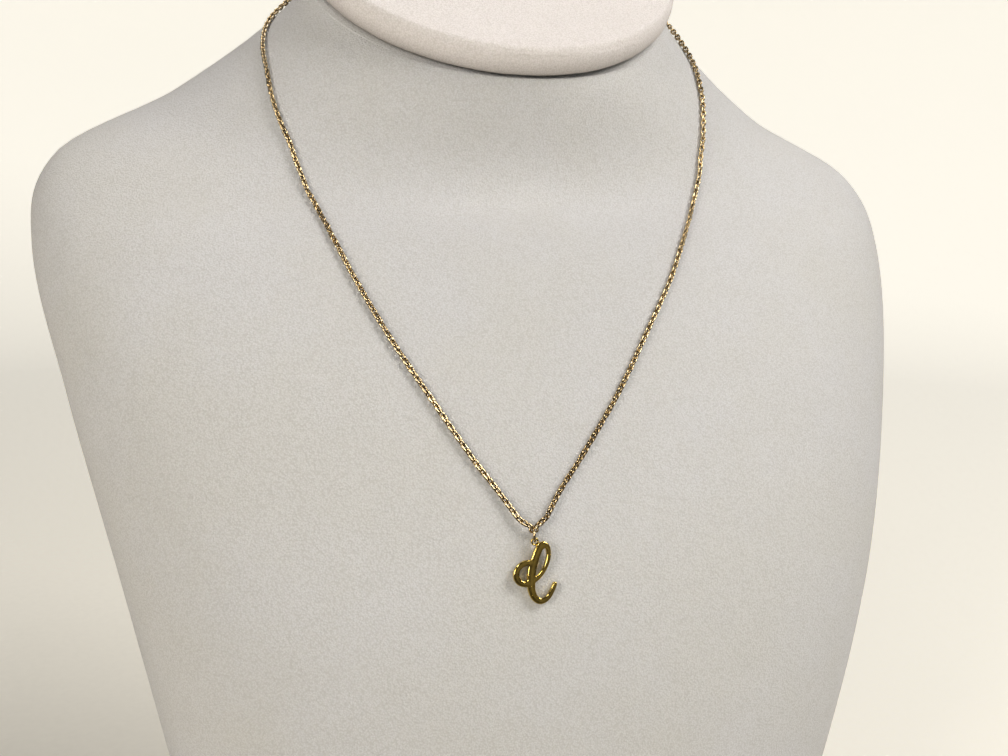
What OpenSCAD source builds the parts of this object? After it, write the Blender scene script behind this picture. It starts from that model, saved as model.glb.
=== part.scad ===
// Initial pendant necklace on a padded neck bust.
// Z is up, the bust faces -Y, and the origin is the middle of the foot.

/* [Bust] */
// Width across the shoulders
shoulder_w = 218; // [180:1:250]
// Height of the middle of the neck's top
bust_h = 264; // [235:1:300]
// How far the chest stands in front of the foot's middle
chest_reach = 70; // [60:1:85]
// How far the back stands behind the foot's middle
back_reach = 58; // [50:1:70]

/* [Neck] */
// Diameter of the neck at its top
neck_d = 91; // [84:1:98]
// How far the middle of the neck's top lies behind the foot's middle
neck_back = 17; // [10:1:24]
// Angle by which the neck's top leans forward
neck_lean = 37; // [30:1:44]

/* [Cap] */
// How far the cap stands out past the neck all round
cap_overhang = 1.5; // [0.5:0.1:5]
// Thickness of the padded cap
cap_t = 8; // [6:0.5:14]
// Gap between the neck's top and the cap
cap_gap = 0.3; // [0.1:0.1:0.8]

/* [Chain] */
// Width of the chain
chain_d = 1.1; // [0.8:0.05:1.3]
// Gap between the bust and the jewel's pieces that lie on it
rest_gap = 0.25; // [0.15:0.05:0.5]
// Gap between the chain's bend and the jump ring's wire over it
bend_gap = 0.15; // [0.1:0.05:0.25]

/* [Clasp] */
// Outer diameter of the clasp's ring
clasp_d = 5.5; // [4.5:0.1:8]
// Wire diameter of the clasp's ring
clasp_wire = 1.1; // [0.8:0.1:1.4]
// Diameter of the clasp's thumb stud
stud_d = 0.8; // [0.5:0.1:1]
// Length of the clasp's thumb stud
stud_l = 1.2; // [0.6:0.1:2]
// Gap between the clasp's ring and each end of the chain
clasp_gap = 0.2; // [0.1:0.05:0.5]

/* [Jump ring] */
// Outer diameter of the jump ring
ring_d = 2.95; // [2.8:0.05:3.6]
// Wire diameter of the jump ring
ring_wire = 0.55; // [0.4:0.05:0.6]
// Turn of the jump ring about the slope of the chest
ring_turn = -14; // [-25:0.5:25]

/* [Pendant] */
// Height of the initial
letter_h = 12.6; // [10:0.1:16]
// Thickness of the initial's plate
letter_t = 1.2; // [0.8:0.1:1.5]
// Outer diameter of the soldered eyelet
eyelet_d = 1.65; // [1.5:0.05:2]
// Wire diameter of the eyelet
eyelet_wire = 0.4; // [0.3:0.05:0.45]
// Turn of the resting initial in its own plane
letter_turn = -7; // [-20:0.5:20]

/* [Hidden] */

// Names of the columns of the section table
HEIGHT = 0;
WIDTH = 1;
FRONT = 2;
BACK = 3;
LEAN = 4;
SQUARE = 5;
// Sections of the bust from the foot up, each as shares of the named sizes:
// height of bust_h, width of shoulder_w, front of chest_reach, back of back_reach,
// lean of the neck's lean, and how square the section is (2 is an ellipse)
section_shares = [
    [0.000, 0.650, 0.760, 0.920, 0.00, 2.6],
    [0.232, 0.725, 0.970, 0.900, 0.00, 2.6],
    [0.464, 0.834, 0.990, 0.880, 0.00, 2.6],
    [0.632, 0.935, 0.740, 0.872, 0.00, 2.5],
    [0.754, 1.001, 0.426, 0.951, 0.04, 2.4],
    [0.828, 0.956, 0.255, 1.020, 0.31, 2.3],
    [0.879, 0.715, 0.230, 1.014, 0.445, 2.2],
    [0.958, 0.449, 0.287, 0.816, 0.69, 2.0]
];
neck_r = neck_d / 2;
// The last section is the neck's round top in its leaning plane
neck_top = [
    bust_h, neck_r, neck_back - neck_r * cos(neck_lean), neck_back + neck_r * cos(neck_lean),
    tan(neck_lean), 2
];
sections = concat([
    for (s = section_shares) [
        s[HEIGHT] * bust_h, s[WIDTH] * shoulder_w / 2, -s[FRONT] * chest_reach,
        s[BACK] * back_reach, s[LEAN] * tan(neck_lean), s[SQUARE]
    ]
], [neck_top]);
rings_per_section = 6;
points_per_ring = 64;

cap_r = neck_r + cap_overhang;
cap_square = 2.6;
cap_points = 14;

// The chain's route, from one side of the clasp round the front to the other side:
// height as a share of bust_h, angle round the bust in degrees (90 is the back, 270 the
// front), and lift off it as a share of the jump ring's. The lift of 1 marks the tip
chain_route = [
    [0.968, 112, 0], [0.9635, 135, 0], [0.955, 150, 0], [0.947, 162, 0], [0.941, 174, 0],
    [0.935, 188, 0], [0.924, 203.5, 0], [0.9075, 216, 0], [0.887, 226.7, 0],
    [0.861, 236.1, 0], [0.842, 241.2, 0], [0.82, 244.3, 0], [0.793, 246.1, 0],
    [0.768, 247.1, 0], [0.731, 248.9, 0], [0.686, 251.6, 0], [0.644, 254.85, 0],
    [0.601, 258.5, 0], [0.5785, 260.8, 0.1], [0.56, 262.6, 0.5], [0.551, 263.4, 0.9],
    [0.548, 263.85, 0.99],
    [0.5475, 264.3, 1],
    [0.548, 264.75, 0.99], [0.551, 265.2, 0.9], [0.56, 266.3, 0.5], [0.5775, 268.4, 0.1],
    [0.5975, 271.2, 0], [0.639, 276.4, 0], [0.682, 281.2, 0], [0.7285, 286.1, 0],
    [0.768, 289.3, 0], [0.796, 291.4, 0], [0.8255, 294.1, 0], [0.843, 296.9, 0],
    [0.8645, 302.5, 0], [0.889, 310.2, 0], [0.906, 316.9, 0], [0.92, 324.3, 0],
    [0.933, 333, 0], [0.944, 343.5, 0], [0.9545, 353, 0], [0.962, 364, 0], [0.967, 380, 0],
    [0.968, 400, 0], [0.968, 428, 0]
];
// Names of the route's columns, once its running length stands in front
AT = 0;
UP = 1;
AROUND = 2;
LIFT = 3;
clasp_around = 90;
chain_sides = 8;
chain_step = 8;

// Names of the stroke tables' columns
ACROSS = 1;
ALONG = 2;
BROAD = 3;
// Centre line of the initial's pen stroke from its eyelet, as shares of letter_h:
// across, up and breadth. The first stroke is the small loop and the rising hairline,
// the second is the crown, the stem and the bowl
rising_stroke = [
    [-0.055, -0.330, 0.080], [-0.135, -0.338, 0.095], [-0.212, -0.374, 0.095],
    [-0.270, -0.442, 0.098], [-0.289, -0.530, 0.104], [-0.262, -0.610, 0.104],
    [-0.200, -0.657, 0.098], [-0.112, -0.662, 0.096], [-0.018, -0.618, 0.088],
    [0.080, -0.545, 0.076], [0.154, -0.449, 0.070], [0.206, -0.337, 0.070],
    [0.229, -0.225, 0.072], [0.224, -0.128, 0.077], [0.190, -0.062, 0.088],
    [0.130, -0.038, 0.100]
];
falling_stroke = [
    [0.160, -0.048, 0.104], [0.095, -0.070, 0.126], [0.047, -0.160, 0.125],
    [0.010, -0.272, 0.128], [-0.026, -0.400, 0.140], [-0.042, -0.528, 0.140],
    [-0.039, -0.656, 0.131], [-0.026, -0.768, 0.122], [0.020, -0.864, 0.112],
    [0.103, -0.922, 0.102], [0.193, -0.903, 0.090], [0.264, -0.836, 0.077],
    [0.312, -0.746, 0.073], [0.348, -0.654, 0.064]
];
stroke_steps = 3;
// How far below the eyelet the initial meets the chest, as a share of letter_h
letter_reach = 0.97;

// Steps over which slopes are measured: along the bust's height, round it, and along the chain
height_step = 0.5;
angle_step = 0.5;
chain_slope_step = 0.2;

// How many straight sides stand for each round form
cap_fn = 96;
ring_fn = 64;
wire_fn = 32;
stroke_end_fn = 24;

// Row of a table, sorted by its first column, below a given key
function row_below(table, key, i = 0) =
    i >= len(table) - 2 || table[i + 1][0] > key ? i : row_below(table, key, i + 1);

// Slope of a table's column at row i, from its two neighbours
function slope_at(table, col, i) =
    let (a = max(i - 1, 0), b = min(i + 1, len(table) - 1))
    (table[b][col] - table[a][col]) / (table[b][0] - table[a][0]);

// Smooth value of a table's column at a key
function smooth_at(table, col, key) =
    let (
        i = row_below(table, key),
        d = table[i + 1][0] - table[i][0],
        t = (key - table[i][0]) / d,
        t2 = t * t,
        t3 = t2 * t
    )
    (2 * t3 - 3 * t2 + 1) * table[i][col] + (t3 - 2 * t2 + t) * d * slope_at(table, col, i)
    + (3 * t2 - 2 * t3) * table[i + 1][col] + (t3 - t2) * d * slope_at(table, col, i + 1);

// A table with the running length of its points, given by their columns, put in front
function with_length(points) = [
    for (
        i = 0, s = 0;
        i < len(points);
        s = i + 1 < len(points) ? s + norm(points[i + 1] - points[i]) : s, i = i + 1
    ) concat([s], points[i])
];

// Point of the bust's surface at a height and an angle
function bust_point(up, around) =
    let (
        w = smooth_at(sections, WIDTH, up),
        front = smooth_at(sections, FRONT, up),
        back = smooth_at(sections, BACK, up),
        lean = smooth_at(sections, LEAN, up),
        n = smooth_at(sections, SQUARE, up),
        c = cos(around),
        s = sin(around),
        r = pow(pow(abs(c), n) + pow(abs(s), n), -1 / n),
        y = r * s * (back - front) / 2
    )
    [w * r * c, (front + back) / 2 + y, up + lean * y];

// Outward normal of the bust's surface
function bust_normal(up, around) =
    let (
        side = bust_point(up, around + angle_step) - bust_point(up, around - angle_step),
        rise = bust_point(up + height_step, around) - bust_point(up - height_step, around)
    )
    unit(cross(side, rise));

function unit(v) = v / norm(v);

// Faces of a closed form made of rings, each with the same number of points
function ring_faces(rings, n) = concat(
    [[for (k = [0:n - 1]) k]],
    [
        for (i = [0:rings - 2], k = [0:n - 1])
        let (m = (k + 1) % n)
        [i * n + k, (i + 1) * n + k, (i + 1) * n + m, i * n + m]
    ],
    [[for (k = [n - 1:-1:0]) (rings - 1) * n + k]]
);

// Matrix that puts a local frame's axes and origin in place
function frame_matrix(x, y, z, o) = [
    [x[0], y[0], z[0], o[0]], [x[1], y[1], z[1], o[1]], [x[2], y[2], z[2], o[2]], [0, 0, 0, 1]
];

// The chosen route on this bust, with real heights
bust_route = [for (p = chain_route) [p[0] * bust_h, p[1], p[2]]];
tip = [for (p = bust_route) if (p[2] == 1) p][0];
clasp_up = bust_route[0][0];

// The jewel's frame on the chest: across, up the slope and outward
tip_foot = bust_point(tip[0], tip[1]);
tip_out = bust_normal(tip[0], tip[1]);
tip_up = unit([0, 0, 1] - tip_out[2] * tip_out);
tip_across = cross(tip_up, tip_out);
ring_r = (ring_d - ring_wire) / 2;
ring_lift = ring_d / 2 + rest_gap;
// The chain's bend lies just under the top of the ring that hangs on it
bend_drop = ring_wire / 2 + bend_gap + chain_d / 2;
ring_centre = tip_foot + tip_out * ring_lift - tip_up * (ring_r - bend_drop);
chain_rest = chain_d / 2 + rest_gap;

// The initial hangs from the ring's lowest point and leans on the chest at its foot
eyelet_centre = ring_centre - tip_up * ring_r;
foot_up = tip[0] - (ring_r + letter_reach * letter_h) * tip_up[2];
foot_centre = bust_point(foot_up, tip[1])
    + bust_normal(foot_up, tip[1]) * (letter_t / 2 + rest_gap);
hang_up = unit(eyelet_centre - foot_centre);
hang_across = unit(cross(hang_up, tip_out));
hang_out = cross(hang_across, hang_up);

// The clasp lies flat on the back of the neck
clasp_foot = bust_point(clasp_up, clasp_around);
clasp_out = bust_normal(clasp_up, clasp_around);
clasp_rise = unit([0, 0, 1] - clasp_out[2] * clasp_out);
clasp_across = cross(clasp_rise, clasp_out);
clasp_reach = clasp_d / 2 + clasp_gap;
clasp_turn = asin(clasp_reach / smooth_at(sections, WIDTH, clasp_up));

// The whole route with the two ends at the clasp, and its running length in front
full_route = concat(
    [[clasp_up, clasp_around + clasp_turn, 0]],
    bust_route,
    [[clasp_up, clasp_around + 360 - clasp_turn, 0]]
);
route_points = [for (p = full_route) bust_point(p[0], p[1])];
route_lengths = with_length(route_points);
route = [for (i = [0:len(full_route) - 1]) concat([route_lengths[i][0]], full_route[i])];

// Places along the route where the chain's tube has a ring of points
tube_places = [
    for (i = [0:len(route) - 2])
    let (d = route[i + 1][AT] - route[i][AT], n = ceil(d / chain_step))
    for (k = [0:n - 1]) route[i][AT] + d * k / n
];
tube_ends = concat(tube_places, [route[len(route) - 1][AT]]);

// Point of the chain's centre line at a place along the route
function chain_point(at) =
    let (
        up = smooth_at(route, UP, at),
        around = smooth_at(route, AROUND, at),
        lift = smooth_at(route, LIFT, at)
    )
    bust_point(up, around)
    + bust_normal(up, around) * (chain_rest + lift * (ring_lift - chain_rest));

function chain_out(at) = bust_normal(smooth_at(route, UP, at), smooth_at(route, AROUND, at));

// Outline of a pen stroke with its own breadth at every point
function stroke_centre(stroke) =
    let (
        keyed = with_length(stroke),
        places = concat(
            [
                for (i = [0:len(keyed) - 2], k = [0:stroke_steps - 1])
                keyed[i][0] + (keyed[i + 1][0] - keyed[i][0]) * k / stroke_steps
            ],
            [keyed[len(keyed) - 1][0]]
        )
    )
    [
        for (p = places)
        [smooth_at(keyed, ACROSS, p), smooth_at(keyed, ALONG, p), smooth_at(keyed, BROAD, p)]
        * letter_h
    ];

function stroke_side(line, side) = [
    for (i = [0:len(line) - 1])
    let (
        a = line[max(i - 1, 0)],
        b = line[min(i + 1, len(line) - 1)],
        d = unit([b[0] - a[0], b[1] - a[1]])
    )
    [line[i][0] - d[1] * side * line[i][2] / 2, line[i][1] + d[0] * side * line[i][2] / 2]
];

module pen_stroke(stroke) {
    line = stroke_centre(stroke);
    near_side = stroke_side(line, 1);
    far_side = stroke_side(line, -1);
    polygon(concat(near_side, [for (i = [len(line) - 1:-1:0]) far_side[i]]));
    for (end = [line[0], line[len(line) - 1]])
        translate([end[0], end[1]]) circle(d = end[2], $fn = stroke_end_fn);
}

module wire_ring(outer_d, wire_d) {
    rotate_extrude($fn = ring_fn)
        translate([(outer_d - wire_d) / 2, 0]) circle(d = wire_d, $fn = wire_fn);
}

module neck_bust() {
    last = len(sections) - 1;
    levels = concat(
        [
            for (i = [0:last - 1], k = [0:rings_per_section - 1])
            sections[i][HEIGHT]
            + (sections[i + 1][HEIGHT] - sections[i][HEIGHT]) * k / rings_per_section
        ],
        [sections[last][HEIGHT]]
    );
    points = [
        for (up = levels, k = [0:points_per_ring - 1]) bust_point(up, 360 * k / points_per_ring)
    ];
    color("gainsboro") polyhedron(points, ring_faces(len(levels), points_per_ring));
}

module neck_cap() {
    half = [
        for (k = [0:cap_points])
        let (
            a = -90 + 180 * k / cap_points,
            c = cos(a),
            s = sin(a),
            r = pow(pow(c, cap_square) + pow(abs(s), cap_square), -1 / cap_square)
        )
        [cap_r - cap_t / 2 + r * c * cap_t / 2, cap_t / 2 + r * s * cap_t / 2]
    ];
    color("whitesmoke")
        translate([0, neck_back, bust_h]) rotate([neck_lean, 0, 0]) translate([0, 0, cap_gap])
            rotate_extrude($fn = cap_fn) polygon(concat([[0, 0]], half, [[0, cap_t]]));
}

module chain() {
    rings = [
        for (i = [0:len(tube_ends) - 1])
        let (
            at = tube_ends[i],
            ahead = chain_point(min(at + chain_slope_step, tube_ends[len(tube_ends) - 1])),
            behind = chain_point(max(at - chain_slope_step, 0)),
            out = chain_out(at),
            side = unit(cross(ahead - behind, out)),
            top = unit(cross(side, ahead - behind)),
            centre = chain_point(at)
        )
        for (k = [0:chain_sides - 1])
        let (a = 360 * k / chain_sides)
        centre + (side * cos(a) + top * sin(a)) * chain_d / 2
    ];
    color("goldenrod") polyhedron(rings, ring_faces(len(tube_ends), chain_sides));
}

module clasp() {
    centre = clasp_foot + clasp_out * (clasp_wire / 2 + rest_gap);
    color("goldenrod")
        multmatrix(frame_matrix(clasp_across, clasp_rise, clasp_out, centre)) {
            wire_ring(clasp_d, clasp_wire);
            translate([0, (clasp_d - clasp_wire) / 2, 0]) rotate([-90, 0, 0])
                cylinder(d = stud_d, h = clasp_wire / 2 + stud_l, $fn = wire_fn);
        }
}

module jump_ring() {
    color("goldenrod")
        multmatrix(frame_matrix(tip_across, tip_up, tip_out, ring_centre))
            rotate([0, ring_turn, 0]) rotate([0, 90, 0]) wire_ring(ring_d, ring_wire);
}

module initial_pendant() {
    color("darkgoldenrod")
        multmatrix(frame_matrix(hang_across, hang_up, hang_out, eyelet_centre))
            rotate([0, 0, letter_turn]) {
                wire_ring(eyelet_d, eyelet_wire);
                translate([0, 0, -letter_t / 2]) linear_extrude(letter_t) {
                    pen_stroke(rising_stroke);
                    pen_stroke(falling_stroke);
                }
            }
}

neck_bust();
neck_cap();
chain();
clasp();
jump_ring();
initial_pendant();
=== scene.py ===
# %% [markdown]
# # An initial pendant on its neck bust
#
# This lesson dresses a jeweller's display: a padded neck bust with a round cap, and on it a
# fine cable chain with one small gold initial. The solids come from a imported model, and each
# step gives one of them the look of the real thing.

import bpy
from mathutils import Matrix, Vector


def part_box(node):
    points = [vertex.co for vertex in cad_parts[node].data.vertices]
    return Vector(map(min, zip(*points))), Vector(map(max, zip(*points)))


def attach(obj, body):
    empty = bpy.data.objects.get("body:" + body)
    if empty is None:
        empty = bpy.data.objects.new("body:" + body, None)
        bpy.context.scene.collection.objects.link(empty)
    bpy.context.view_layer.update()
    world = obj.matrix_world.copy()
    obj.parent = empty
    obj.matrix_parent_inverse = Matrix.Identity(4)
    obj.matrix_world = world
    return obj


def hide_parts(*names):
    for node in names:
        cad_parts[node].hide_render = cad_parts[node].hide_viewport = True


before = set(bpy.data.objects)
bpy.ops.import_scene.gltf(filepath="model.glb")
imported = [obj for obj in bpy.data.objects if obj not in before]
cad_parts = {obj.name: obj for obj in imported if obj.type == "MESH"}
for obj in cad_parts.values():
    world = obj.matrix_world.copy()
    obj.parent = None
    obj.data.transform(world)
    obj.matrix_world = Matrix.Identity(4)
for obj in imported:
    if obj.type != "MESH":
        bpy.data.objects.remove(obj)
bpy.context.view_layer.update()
print("pieces in the packed model:", sorted(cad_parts))

# %% Modules and units
from math import asin, cos, degrees, exp, pi, radians, sin, tan

import bmesh
import bpy
import numpy as np
from mathutils import Matrix, Vector, geometry

MM = 0.001
scene = bpy.context.scene

# %% [markdown]
# ## The camera
#
# A camera can be placed by eye, but from 25 cm away the perspective is strong and the distance
# matters as much as the direction. So the view is written as an angle round the bust, one above
# the horizon, a small roll, a distance and the point looked at, and the lens follows from the
# width of the view. Everything later is judged from here.

# %% Directions and objects
def direction(around, above_horizon):
    """The direction at angles round the bust and above the horizon, in degrees."""
    a, e = radians(around), radians(above_horizon)
    return Vector((sin(a) * cos(e), -cos(a) * cos(e), sin(e)))


def add_object(name, data):
    """A new object in the scene."""
    made = bpy.data.objects.new(name, data)
    scene.collection.objects.link(made)
    return made


print("the viewer's side of the bust:", list(direction(0, 0)))

# %% Camera
# Angles round and above in degrees, distance and target in mm
VIEW_AROUND = -15.67
VIEW_ABOVE = 10.81
VIEW_ROLL = radians(0.98)
VIEW_DISTANCE = 233.75
VIEW_TARGET = Vector((-9.42, -39.2, 172.3))
VIEW_WIDE = radians(50)
SENSOR_W = 36
NEAREST_SEEN = 0.01

back = direction(VIEW_AROUND, VIEW_ABOVE)
level = Vector((0, 0, 1)).cross(back).normalized()
upright = back.cross(level)
right = level * cos(VIEW_ROLL) + upright * sin(VIEW_ROLL)
above = upright * cos(VIEW_ROLL) - level * sin(VIEW_ROLL)
camera_data = bpy.data.cameras.new("view")
camera_data.sensor_width = SENSOR_W
camera_data.lens = SENSOR_W / 2 / tan(VIEW_WIDE / 2)
camera_data.clip_start = NEAREST_SEEN
camera = add_object("view", camera_data)
eye = (VIEW_TARGET + back * VIEW_DISTANCE) * MM
camera.matrix_world = Matrix.Translation(eye) @ Matrix((right, above, back)).transposed().to_4x4()
scene.camera = camera
print("lens in mm:", round(camera_data.lens, 2), "eye in m:", [round(x, 3) for x in eye])

# %% [markdown]
# ## Smooth curves through a few rows
#
# A maker of forms keeps only a few sections and lets a batten run smoothly through them. Here a
# table has one row for each section, sorted by its first column, and a smooth curve through the
# rows gives the size anywhere between them.

# %% Curve through a table
def batten(t, start, leaving, end, arriving):
    """Places on a smooth curve at shares t of its way, from its ends and its slope at each."""
    t2, t3 = t * t, t * t * t
    return (
        (2 * t3 - 3 * t2 + 1) * start + (t3 - 2 * t2 + t) * leaving
        + (3 * t2 - 2 * t3) * end + (t3 - t2) * arriving
    )


def smooth_rows(table, keys):
    """Every column but the first of a sorted table, at each key, on smooth curves."""
    at, values = table[:, 0], table[:, 1:]
    slopes = np.empty_like(values)
    slopes[1:-1] = (values[2:] - values[:-2]) / (at[2:] - at[:-2])[:, None]
    slopes[0] = (values[1] - values[0]) / (at[1] - at[0])
    slopes[-1] = (values[-1] - values[-2]) / (at[-1] - at[-2])
    i = np.clip(np.searchsorted(at, keys, side="right") - 1, 0, len(at) - 2)
    step = (at[i + 1] - at[i])[..., None]
    t = (np.asarray(keys) - at[i])[..., None] / step
    return batten(t, values[i], step * slopes[i], values[i + 1], step * slopes[i + 1])


def unit(v):
    """Each row of an array of vectors at length one."""
    return v / np.linalg.norm(v, axis=-1, keepdims=True)


def along_length(points):
    """How far each point of a line lies from its start, measured along it."""
    return np.concatenate([[0], np.cumsum(np.linalg.norm(np.diff(points, axis=0), axis=1))])


def line_at(places, at, line):
    """Points or directions at distances along a line."""
    return np.column_stack([np.interp(places, at, column) for column in line.T])


print("halfway between 0 and 10:", smooth_rows(np.array([[0, 0.0], [1, 10.0]]), np.array([0.5])))

# %% [markdown]
# ## The form of the bust
#
# The bust is a chest that narrows to a leaning neck. Each section is a rounded box: its width,
# its reach to the front and to the back, and how square it is. Towards the top the sections
# lean, and the last one is the round, tilted end of the neck. It could be sculpted, but a table
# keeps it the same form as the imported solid.

# %% Sections and surface of the bust
SHOULDER_W = 218
BUST_H = 264
CHEST_REACH = 70
BACK_REACH = 58
NECK_D = 91
NECK_BACK = 17
NECK_LEAN = radians(37)
# Shares of the sizes above: height, width, front, back, lean, and how square the section is
SECTION_SHARES = [
    [0, 0.65, 0.76, 0.92, 0, 2.6],
    [0.232, 0.725, 0.97, 0.9, 0, 2.6],
    [0.464, 0.834, 0.99, 0.88, 0, 2.6],
    [0.632, 0.935, 0.74, 0.872, 0, 2.5],
    [0.754, 1.001, 0.426, 0.951, 0.04, 2.4],
    [0.828, 0.956, 0.255, 1.02, 0.31, 2.3],
    [0.879, 0.715, 0.23, 1.014, 0.445, 2.2],
    [0.958, 0.449, 0.287, 0.816, 0.69, 2.0],
]
neck_r = NECK_D / 2
neck_slope = tan(NECK_LEAN)
neck_reach = neck_r * cos(NECK_LEAN)
sections = np.array([
    [
        height * BUST_H, width * SHOULDER_W / 2, -ahead * CHEST_REACH, behind * BACK_REACH,
        lean * neck_slope, square,
    ]
    for height, width, ahead, behind, lean, square in SECTION_SHARES
] + [[BUST_H, neck_r, NECK_BACK - neck_reach, NECK_BACK + neck_reach, neck_slope, 2]])


def bust_point(up, around):
    """Points of the bust's surface in mm, at heights up and angles around in degrees."""
    up, around = np.broadcast_arrays(up, around)
    width, ahead, behind, lean, square = np.moveaxis(smooth_rows(sections, up), -1, 0)
    c, s = np.cos(np.radians(around)), np.sin(np.radians(around))
    r = (np.abs(c) ** square + np.abs(s) ** square) ** (-1 / square)
    y = r * s * (behind - ahead) / 2
    return np.stack([width * r * c, (ahead + behind) / 2 + y, up + lean * y], -1)


def bust_normal(up, around):
    """Outward directions of the bust's surface."""
    side = bust_point(up, around + 0.5) - bust_point(up, around - 0.5)
    rise = bust_point(up + 0.5, around) - bust_point(up - 0.5, around)
    return unit(np.cross(side, rise))


print("front of the chest at half height:", bust_point(BUST_H / 2, 270.0).round(1))

# %% [markdown]
# ## From points to a piece
#
# Every piece is built the same way: points in millimetres and the faces between them become a
# mesh in metres, the piece rides on the imported body, it takes its finish, and the imported
# solid that it stands for is hidden. Most forms here are rings of points in a row.

# %% Make a piece
def full_turn(count):
    """Angles in radians, evenly round a full turn."""
    return np.linspace(0, 2 * pi, count, endpoint=False)


def make_piece(name, points, faces, material, replaced=None):
    """A smooth mesh piece from points in mm."""
    mesh = bpy.data.meshes.new(name)
    mesh.from_pydata((np.asarray(points) * MM).tolist(), [], faces)
    mesh.validate()
    shape = bmesh.new()
    shape.from_mesh(mesh)
    bmesh.ops.recalc_face_normals(shape, faces=shape.faces)
    shape.to_mesh(mesh)
    shape.free()
    mesh.shade_smooth()
    mesh.materials.append(material)
    piece = add_object(name, mesh)
    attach(piece, "root")
    if replaced:
        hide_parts(replaced)
    return piece


def triangles_of(piece):
    """How many triangles a piece has."""
    return sum(len(p.vertices) - 2 for p in piece.data.polygons)


print("one millimetre in metres:", MM)

# %% Faces between rings
def grid_faces(rings, count, ends="closed"):
    """Faces of a form made of rings of points, its ends closed, open or joined to each other."""
    k = np.arange(count)
    m = (k + 1) % count
    faces = []
    for ring in range(rings if ends == "joined" else rings - 1):
        low = ring * count
        high = (ring + 1) % rings * count
        faces += np.stack([low + k, low + m, high + m, high + k], 1).tolist()
    if ends == "closed":
        faces.append(k[::-1].tolist())
        faces.append(((rings - 1) * count + k).tolist())
    return faces


print("faces of a small tube:", len(grid_faces(3, 8)))

# %% [markdown]
# ## Finishes made of nodes
#
# A finish could be a picture wrapped round a piece, but a picture has seams and only one scale.
# So every finish is worked out from the place of each point in space. A few helpers add a node,
# change a number or a colour, and lay one colour over another like a glaze.

# %% Helpers for materials
WHITE = (1, 1, 1, 1)


def new_material(name):
    """An empty node material, its shader and the place of each point."""
    material = bpy.data.materials.new(name)
    material.use_nodes = True
    nodes = material.node_tree.nodes
    return material, nodes["Principled BSDF"], nodes.new("ShaderNodeTexCoord").outputs["Object"]


def feed(source, made, name):
    """Links a source to a node's input, given by its name or number."""
    made.id_data.links.new(source, made.inputs[name])


def filled(made, **values):
    """A shader node, with some of its settings and input values filled in."""
    for key, value in values.items():
        if hasattr(made, key):
            setattr(made, key, value)
        else:
            made.inputs[key.replace("_", " ")].default_value = value
    return made


def node(source, kind, **values):
    """A new shader node in the same material as a source, filled in."""
    return filled(source.id_data.nodes.new(kind), **values)


def noise(place, scale, detail, **values):
    """How strong a soft random pattern is at each place, from 0 to 1."""
    made = node(place, "ShaderNodeTexNoise", Scale=scale, Detail=detail, **values)
    feed(place, made, "Vector")
    return made.outputs["Fac"]


print("pure white:", WHITE)

# %% Helpers for colours and numbers
def ramp(source, low, high, low_at=0.0, high_at=1.0):
    """A colour ramp from low to high, driven by a source."""
    made = node(source, "ShaderNodeValToRGB")
    for stop, colour, at in zip(made.color_ramp.elements, (low, high), (low_at, high_at)):
        stop.position = at
        stop.color = colour
    feed(source, made, "Fac")
    return made.outputs["Color"]


def rescaled(source, low, high, low_to, high_to):
    """A number between low and high, moved to between two others."""
    made = node(source, "ShaderNodeMapRange", From_Min=low, From_Max=high, To_Min=low_to, To_Max=high_to)
    feed(source, made, "Value")
    return made.outputs["Result"]


def glazed(first, second):
    """Two colours multiplied, as one glaze over another."""
    made = node(first, "ShaderNodeMix", data_type="RGBA", blend_type="MULTIPLY", Factor=1.0)
    feed(first, made, 6)
    feed(second, made, 7)
    return made.outputs[2]


def relief(height, depth, strength=1.0, hollow=False):
    """A bump of a depth in mm, raised or hollow where the height is high."""
    made = node(height, "ShaderNodeBump", Strength=strength, Distance=depth * MM, invert=hollow)
    feed(height, made, "Height")
    return made.outputs["Normal"]


print("materials before the finishes:", len(bpy.data.materials))

# %% [markdown]
# ## Leatherette
#
# The bust is covered in a matt, pale grey leatherette: a woven cloth with a plastic skin, pressed
# with a fine pebble grain of about 0.4 mm. Cells make the pebbles, a finer noise breaks them up,
# and a slow noise shifts the tint a little, as on a long used display. The dips between the
# pebbles are painted darker, as painted shade of the grain. Where a piece carries the mark "under",
# the skin is painted darker too, as painted shade on the underside of a pad.

# %% Leatherette finish
GRAIN_PER_M = 2600
PORES_PER_M = 7000
PORE_SHARE = 0.5
GRAIN_DEPTH = 0.12
GRAIN_RANGE = (0.2, 1.05)
MATT_RANGE = (0.52, 0.72)
TINT_PER_M = 28
TINT_SPREAD = (0.38, 0.62)
PAINTED_HOLLOW_SPREAD = (0.345, 1.0)
PAINTED_HOLLOW_SHADE = (0.81, 0.80, 0.78, 1)
PAINTED_UNDER_SHADE = (0.55, 0.54, 0.52, 1)
SKIN_SHEEN = 0.35


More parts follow.
